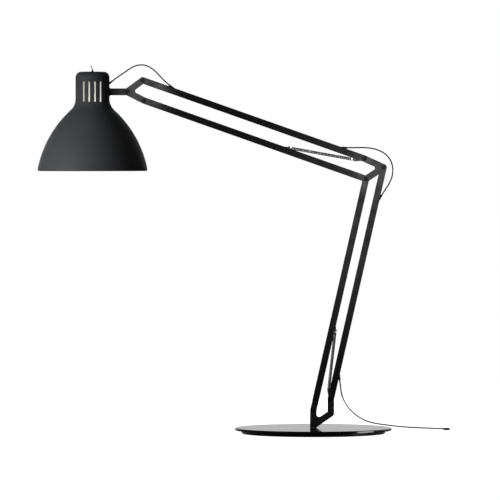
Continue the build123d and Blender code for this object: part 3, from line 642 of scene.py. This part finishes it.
@dataclass
class Cord:
    """A length of the lamp's round flex that bends between two bodies."""

    node: str
    route: tuple[Point, ...]
    length: float
    bodies: tuple[str, str]
    start: Point
    end: Point
    far_end: str = "object"
    lay: str = "hanging"
    pieces: tuple[str, ...] = ()
    diameter: float = 0.0085
    sides: int = 14
    resolution: int = 14
    across: Point = (0.0, 1.0, 0.13)

    def build(self, rack: FinishRack) -> bpy.types.Object:
        """Make the cord's tube on its smooth line and let it stand for its CAD node.

        Args:
            rack: The finishes.

        Returns:
            The cord's object.
        """
        path = nurbs_points(self.node + "_line", self.route, self.resolution)
        points, faces = tube(path, np.array(self.across), self.diameter / 2, self.sides)
        obj = smooth_mesh(self.node + "_flex", points, faces)
        rack.dress(obj, FLEX)
        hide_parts(self.node)
        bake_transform(obj)
        obj.visible_glossy = False
        log.info("cord %s", obj.name)
        return obj


@dataclass
class Wiring:
    """The flex: a loop over the head, a loop round the elbow and the lead to the floor."""

    cap_sleeve: Point = (-1.2790, 0.0, 2.2502)
    arm_head_sleeve: Point = (-0.9217, 0.0, 2.2258)
    arm_elbow_sleeve: Point = (0.2182, 0.0, 1.8234)
    rear_top_sleeve: Point = (0.4390, 0.0, 1.5254)
    rear_foot_sleeve: Point = (0.1690, 0.0, 0.3368)
    head_split: Point = (-1.0940, 0.0, 2.3510)
    cap_turn: Point = (-1.2889, 0.0, 2.3253)
    elbow_split: Point = (0.5065, 0.0, 1.6710)
    lead_bow: Point = (0.2150, 0.0, 0.1750)

    def cords(self) -> list[Cord]:
        """List the cords with their routes.

        Returns:
            The five lengths of flex.
        """
        head_cap = Cord(
            "head_loop_cap",
            (
                self.cap_sleeve,
                (-1.2506, 0.0, 2.2724),
                (-1.2060, 0.0, 2.3010),
                (-1.1640, 0.0, 2.3325),
                (-1.1190, 0.0, 2.3510),
                self.head_split,
            ),
            length=0.2145,
            bodies=("head_fork", "head"),
            start=self.head_split,
            end=self.cap_turn,
        )
        head_arm = Cord(
            "head_loop_arm",
            (
                self.arm_head_sleeve,
                (-0.9433, 0.0, 2.2436),
                (-0.9800, 0.0, 2.2810),
                (-1.0190, 0.0, 2.3225),
                (-1.0690, 0.0, 2.3510),
                self.head_split,
            ),
            length=0.2188,
            bodies=("upper_top_bar", "head_fork"),
            start=self.arm_head_sleeve,
            end=self.head_split,
        )
        elbow_upper = Cord(
            "elbow_loop_upper",
            (
                self.arm_elbow_sleeve,
                (0.2682, 0.0, 1.8238),
                (0.3320, 0.0, 1.8250),
                (0.3960, 0.0, 1.8160),
                (0.4540, 0.0, 1.7900),
                (0.4930, 0.0, 1.7470),
                (0.5080, 0.0, 1.6960),
                self.elbow_split,
            ),
            length=0.376,
            bodies=("upper_top_bar", "elbow"),
            start=self.arm_elbow_sleeve,
            end=self.elbow_split,
        )
        elbow_lower = Cord(
            "elbow_loop_lower",
            (
                self.rear_top_sleeve,
                (0.4607, 0.0, 1.5590),
                (0.4870, 0.0, 1.6000),
                (0.5050, 0.0, 1.6460),
                self.elbow_split,
            ),
            length=0.163,
            bodies=("lower_rear_bar", "elbow"),
            start=self.rear_top_sleeve,
            end=self.elbow_split,
        )
        return [head_cap, head_arm, elbow_upper, elbow_lower, self.floor_lead()]

    def floor_lead(self) -> Cord:
        """Give the lead that hangs from the rear bar, crosses the base and lies on the floor.

        Returns:
            The lead, which ends in its plug.
        """
        route = (
            self.rear_foot_sleeve,
            (0.1737, 0.0, 0.2990),
            (0.1790, 0.0040, 0.2560),
            (0.1930, 0.0160, 0.2130),
            (0.2150, 0.0380, 0.1750),
            (0.2460, 0.0750, 0.1370),
            (0.2880, 0.1250, 0.1010),
            (0.3400, 0.1850, 0.0710),
            (0.3930, 0.2490, 0.0530),
            (0.4380, 0.3170, 0.0430),
            (0.4800, 0.3880, 0.0340),
            (0.5240, 0.4590, 0.0250),
            (0.5740, 0.5260, 0.0165),
            (0.6340, 0.5770, 0.0095),
            (0.7020, 0.5960, 0.0052),
            (0.7660, 0.5660, 0.0046),
            (0.8150, 0.5080, 0.0046),
            (0.8520, 0.4400, 0.0072),
        )
        return Cord(
            "floor_lead",
            route,
            length=1.184,
            bodies=("base_fork", "lower_rear_bar"),
            start=self.lead_bow,
            end=self.rear_foot_sleeve,
            far_end="plug",
            lay="loose",
            pieces=("mains_plug",),
        )

    def build(self, rack: FinishRack) -> None:
        """Build every cord.

        Args:
            rack: The finishes.
        """
        for cord in self.cords():
            cord.build(rack)


@dataclass
class SpringPair:
    """Two close-wound balance springs beside an arm, each hooked to a stud and a cross pin."""

    node: str
    anchor: tuple[float, float]
    pin: tuple[float, float]
    bodies: tuple[str, str]
    shares: tuple[float, ...]
    cuts: tuple[float, ...] = (0.08, 0.2, 0.45)
    lean: float = 0.013
    side: float = 0.0225
    coil_radius: float = 0.0083
    coil_shift: float = 0.0028
    wire: float = 0.0029
    pin_radius: float = 0.004
    coil_from: float = 0.026
    coil_to: float = 0.018
    pitch: float = 0.0034
    steps: int = 14
    wire_sides: int = 7
    hook_gap: float = 0.0002
    hook_degrees: float = 200.0
    hook_points: int = 22
    shank_points: int = 12
    nudge: float = 0.0001
    nudge_way: Point = (0.3, 1.0, 0.2)

    def ends(self, y: float) -> tuple[np.ndarray, np.ndarray]:
        """Give the points that a spring runs between.

        Args:
            y: The spring's place across the arm.

        Returns:
            The stud's point and the cross pin's.
        """
        stud = np.array([self.anchor[0], y, self.anchor[1]])
        pin = np.array([self.pin[0], y, self.pin[1]])
        return stud, pin

    def wire_path(self, y: float) -> np.ndarray:
        """Work out one spring's wire.

        Along the spring's axis the wire is a hook round the stud, a shank that leads out to the
        coil's radius, the helix, and a like shank and hook at the other end. A hook is an arc round
        the stud or pin, in the plane in which the arms swing.

        Args:
            y: The spring's place across the arm.

        Returns:
            The wire's points.
        """
        stud, pin = self.ends(y)
        axis = unit(pin - stud)
        across = np.array([0.0, 1.0, 0.0])
        up = np.cross(axis, across)
        length = float(np.linalg.norm(pin - stud))
        coil = length - self.coil_from - self.coil_to
        turns = round(coil / self.pitch)
        part = np.linspace(0.0, 1.0, turns * self.steps + 1)
        angle = 2 * np.pi * turns * part
        helix = np.stack(
            [
                self.coil_from + coil * part,
                self.coil_shift + self.coil_radius * np.cos(angle),
                self.coil_radius * np.sin(angle),
            ],
            axis=1,
        )
        bend = self.pin_radius + self.wire / 2 + self.hook_gap
        sweep = np.radians(np.linspace(-self.hook_degrees, 0.0, self.hook_points))
        turn = -sweep - np.pi / 2
        hook = np.stack([bend * np.sin(turn), bend * np.cos(turn), 0 * turn], axis=1)
        rise = np.linspace(0.0, 1.0, self.shank_points)[1:-1]
        ease = rise * rise * (3 - 2 * rise)
        hooked: list[np.ndarray] = []
        for lead in (self.coil_from, self.coil_to):
            shank = np.stack(
                [
                    hook[-1, 0] + (lead - hook[-1, 0]) * rise,
                    hook[-1, 1] + (self.coil_shift + self.coil_radius - hook[-1, 1]) * ease,
                    0 * rise,
                ],
                axis=1,
            )
            hooked.append(np.concatenate([hook, shank]))
        far_end = hooked[1][::-1] * np.array([-1.0, 1.0, 1.0]) + np.array([length, 0.0, 0.0])
        local = np.concatenate([hooked[0], helix, far_end])
        return stud + local[:, :1] * axis + local[:, 1:2] * up + local[:, 2:] * across

    def reach(self) -> list[tuple[float, float]]:
        """Work out between which places along the springs each length starts and stops turning.

        The places are set so that, if each length took a smooth step of the far body's turn between
        its two places, neighbouring lengths would take the same share of the turn where they meet.

        Returns:
            The two places of each length, as parts of the way from the stud to the pin.
        """
        cuts = np.array([0.0, *self.cuts, 1.0])
        shares = np.array([0.0, *self.shares, 1.0])
        place = 0.5 - np.sin(np.arcsin(1.0 - 2.0 * shares) / 3.0)
        span = np.diff(cuts) / np.diff(place)
        start = cuts[:-1] - place[:-1] * span
        return list(zip(start, start + span))

    def build(self, rack: FinishRack) -> None:
        """Make both springs, cut into lengths at the given places along them.

        Args:
            rack: The finishes.
        """
        stud, pin = self.ends(0.0)
        way = pin - stud
        lean = unit(way + np.array([0.0, self.lean, 0.0]))
        paths = [self.wire_path(y) for y in (-self.side, self.side)]
        place = (paths[0] - stud) @ way / (way @ way)
        rows = [0, *(int(np.argmax(place > cut)) for cut in self.cuts), len(place) - 1]
        for number, (start, end) in enumerate(self.reach(), 1):
            part = slice(rows[number - 1], rows[number] + 1)
            all_points: list[np.ndarray] = []
            all_faces: list[np.ndarray] = []
            for path in paths:
                along = unit(np.gradient(path, axis=0))
                across = np.cross(along, lean) + self.nudge * np.array(self.nudge_way)
                points, faces = tube(path[part], across[part], self.wire / 2, self.wire_sides)
                all_faces.append(faces + sum(len(p) for p in all_points))
                all_points.append(points)
            obj = smooth_mesh(
                f"{self.node}_wire_{number}", np.concatenate(all_points), np.concatenate(all_faces)
            )
            rack.dress(obj, SPRING_STEEL)
            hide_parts(self.node)
            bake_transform(obj)
            log.info("springs %s", obj.name)


class LampKind(Enum):
    """The two kinds of studio lamp, with Blender's name for each."""

    PANEL = "AREA"
    SPOT = "SPOT"


@dataclass(frozen=True)
class StudioLamp:
    """A round panel or spot, with its beam in degrees and whether gloss mirrors it."""

    name: str
    place: Point
    aim: Point
    width: float
    power: float
    beam: float
    mirrored: bool = True
    kind: LampKind = LampKind.PANEL


def turned_to(place: Point, aim: Point) -> Point:
    """Work out the turn of a lamp or the camera that looks at a point.

    Args:
        place: Where it stands.
        aim: The point.

    Returns:
        Its Euler angles, in radians.
    """
    way = np.array(aim) - np.array(place)
    pitch = math.atan2(math.hypot(way[0], way[1]), -way[2])
    yaw = math.atan2(way[1], way[0]) - math.pi / 2
    return (pitch, 0.0, yaw)


@dataclass
class Studio:
    """Floor, light and camera."""

    eye: Point = (-0.404, -34.1, 1.8)
    target: Point = (-0.404, 0.0, 1.171)
    lens: float = 385.0
    sensor: float = 36.0
    far_clip: float = 400.0
    floor_half: float = 120.0
    floor_drop: float = 0.0004
    floor_grey: float = 0.3
    soft_level: float = 0.03
    left_gloss: float = 0.1
    left_range: Range = (0.5, -0.9)
    behind_gloss: float = 0.7
    behind_range: Range = (0.55, 0.95)
    lamps: tuple[StudioLamp, ...] = (
        StudioLamp("key_left", (-4.2, -3.1, 2.3), (-1.3, 0.0, 1.9), 2.6, 42.0, 150.0),
        StudioLamp("shade_key", (-2.66, -1.25, 1.65), (-1.55, -0.15, 1.70), 1.0, 6.5, 80.0),
        StudioLamp(
            "arm_soft",
            (0.60, -3.4, 1.42),
            (0.55, 0.0, 1.39),
            0.9,
            74.0,
            40.0,
            kind=LampKind.SPOT,
        ),
        StudioLamp(
            "elbow_spot",
            (0.42, -2.0, 1.70),
            (0.42, 0.0, 1.68),
            0.16,
            23.0,
            13.0,
            kind=LampKind.SPOT,
        ),
        StudioLamp(
            "head_spot",
            (-1.07, -2.0, 2.23),
            (-1.07, 0.0, 2.19),
            0.16,
            34.0,
            12.0,
            kind=LampKind.SPOT,
        ),
        StudioLamp("edge_right", (0.66, -0.42, 0.03), (0.352, -0.355, 0.03), 0.30, 0.85, 58.0),
        StudioLamp("shade_bounce", (-1.408, 0.0, 0.9), (-1.408, 0.001, 2.2), 0.4, 1.7, 40.0),
        StudioLamp("top_soft", (-1.0, -2.0, 9.0), (-0.4, 0.0, 1.2), 7.0, 60.0, 180.0),
        StudioLamp("back_right", (0.2, 4.6, 2.2), (-0.2, 0.0, 1.2), 2.4, 260.0, 180.0, False),
        StudioLamp("back_left", (-3.4, 4.6, 2.4), (-0.6, 0.0, 1.4), 2.4, 200.0, 180.0, False),
    )

    def build(self) -> None:
        """Make the whole studio."""
        self.floor()
        self.world()
        self.light()
        self.camera()

    def floor(self) -> None:
        """Lay a floor that is white to the camera and grey to every other ray."""
        half = self.floor_half
        signs = np.array([[-1.0, -1.0, 0.0], [1.0, -1.0, 0.0], [1.0, 1.0, 0.0], [-1.0, 1.0, 0.0]])
        corners = signs * half - np.array([0.0, 0.0, self.floor_drop])
        plane = smooth_mesh("floor", corners, np.array([[0, 1, 2, 3]]))
        made = bpy.data.materials.new("pale_floor")
        made.use_nodes = True
        graph = NodeGraph(made.node_tree)
        grey = self.floor_grey
        paint = graph.add("ShaderNodeBsdfDiffuse", Color=(grey, grey, grey, 1.0))
        glow = graph.add("ShaderNodeEmission", Color=WHITE)
        path = graph.add("ShaderNodeLightPath")
        graph.join(path.outputs["Is Camera Ray"], glow.inputs["Strength"])
        both = graph.add("ShaderNodeAddShader")
        graph.join(paint.outputs["BSDF"], both.inputs[0])
        graph.join(glow.outputs["Emission"], both.inputs[1])
        end = graph.add("ShaderNodeOutputMaterial")
        graph.join(both.outputs["Shader"], end.inputs["Surface"])
        plane.data.materials.append(made)

    def world(self) -> None:
        """Surround the lamp with weak light, white to the camera and to glass.

        Gloss sees a gradient instead, which is lightest behind the lamp and faint at its left.
        """
        world = bpy.data.worlds.new("studio")
        bpy.context.scene.world = world
        world.use_nodes = True
        graph = NodeGraph(world.node_tree)
        path = graph.add("ShaderNodeLightPath")
        clear = graph.add("ShaderNodeMath", operation="MAXIMUM")
        graph.join(path.outputs["Is Camera Ray"], clear.inputs[0])
        graph.join(path.outputs["Is Transmission Ray"], clear.inputs[1])
        soft = graph.add("ShaderNodeBackground", Color=WHITE, Strength=self.soft_level)
        white = graph.add("ShaderNodeBackground", Color=WHITE, Strength=1.0)
        gloss = graph.add("ShaderNodeBackground", Color=WHITE)
        coords = graph.add("ShaderNodeTexCoord")
        parts = graph.add("ShaderNodeSeparateXYZ")
        graph.join(coords.outputs["Generated"], parts.inputs["Vector"])
        left = graph.map_range(parts.outputs["X"], self.left_range, (0.0, self.left_gloss))
        behind = graph.map_range(parts.outputs["Y"], self.behind_range, (0.0, self.behind_gloss))
        level = graph.add("ShaderNodeMath", operation="MAXIMUM")
        graph.join(left, level.inputs[0])
        graph.join(behind, level.inputs[1])
        graph.join(level.outputs["Value"], gloss.inputs["Strength"])
        first = graph.add("ShaderNodeMixShader")
        graph.join(path.outputs["Is Glossy Ray"], first.inputs["Fac"])
        graph.join(soft.outputs["Background"], first.inputs[1])
        graph.join(gloss.outputs["Background"], first.inputs[2])
        second = graph.add("ShaderNodeMixShader")
        graph.join(clear.outputs["Value"], second.inputs["Fac"])
        graph.join(first.outputs["Shader"], second.inputs[1])
        graph.join(white.outputs["Background"], second.inputs[2])
        end = graph.add("ShaderNodeOutputWorld")
        graph.join(second.outputs["Shader"], end.inputs["Surface"])

    def light(self) -> None:
        """Hang the studio lamps, each turned to its aim."""
        for lamp in self.lamps:
            data = bpy.data.lights.new(lamp.name, lamp.kind.value)
            data.energy = lamp.power
            if lamp.kind is LampKind.SPOT:
                data.shadow_soft_size = lamp.width / 2
                data.spot_size = math.radians(lamp.beam)
                data.spot_blend = 1.0
            else:
                data.shape = "DISK"
                data.size = lamp.width
                data.spread = math.radians(lamp.beam)
            obj = put_in_scene(lamp.name, data)
            obj.location = lamp.place
            obj.rotation_euler = turned_to(lamp.place, lamp.aim)
            obj.visible_camera = False
            obj.visible_glossy = lamp.mirrored

    def camera(self) -> None:
        """Set the camera at the photograph's place and angle."""
        data = bpy.data.cameras.new("camera")
        data.lens = self.lens
        data.sensor_width = self.sensor
        data.clip_end = self.far_clip
        obj = put_in_scene("camera", data)
        obj.location = self.eye
        obj.rotation_euler = turned_to(self.eye, self.target)
        bpy.context.scene.camera = obj
        bpy.context.scene.view_settings.view_transform = "Standard"


def main() -> None:
    """Build the studio, then every piece."""
    logging.basicConfig(level=logging.INFO, format="%(name)s: %(message)s")
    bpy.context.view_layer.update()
    Studio().build()
    rack = FinishRack()
    rack.dress_nodes()
    Wiring().build(rack)
    SpringPair(
        "lower_springs",
        anchor=(0.1012, 0.2819),
        pin=(0.1428, 0.6581),
        bodies=("base_fork", "lower_front_bar"),
        shares=(0.339, 0.579, 0.809),
        coil_from=0.015,
        coil_to=0.013,
    ).build(rack)
    SpringPair(
        "upper_springs",
        anchor=(0.2649, 1.7497),
        pin=(-0.1555, 1.8254),
        bodies=("elbow", "upper_bottom_bar"),
        shares=(0.382, 0.633, 0.846),
    ).build(rack)


if __name__ == "__main__":
    main()
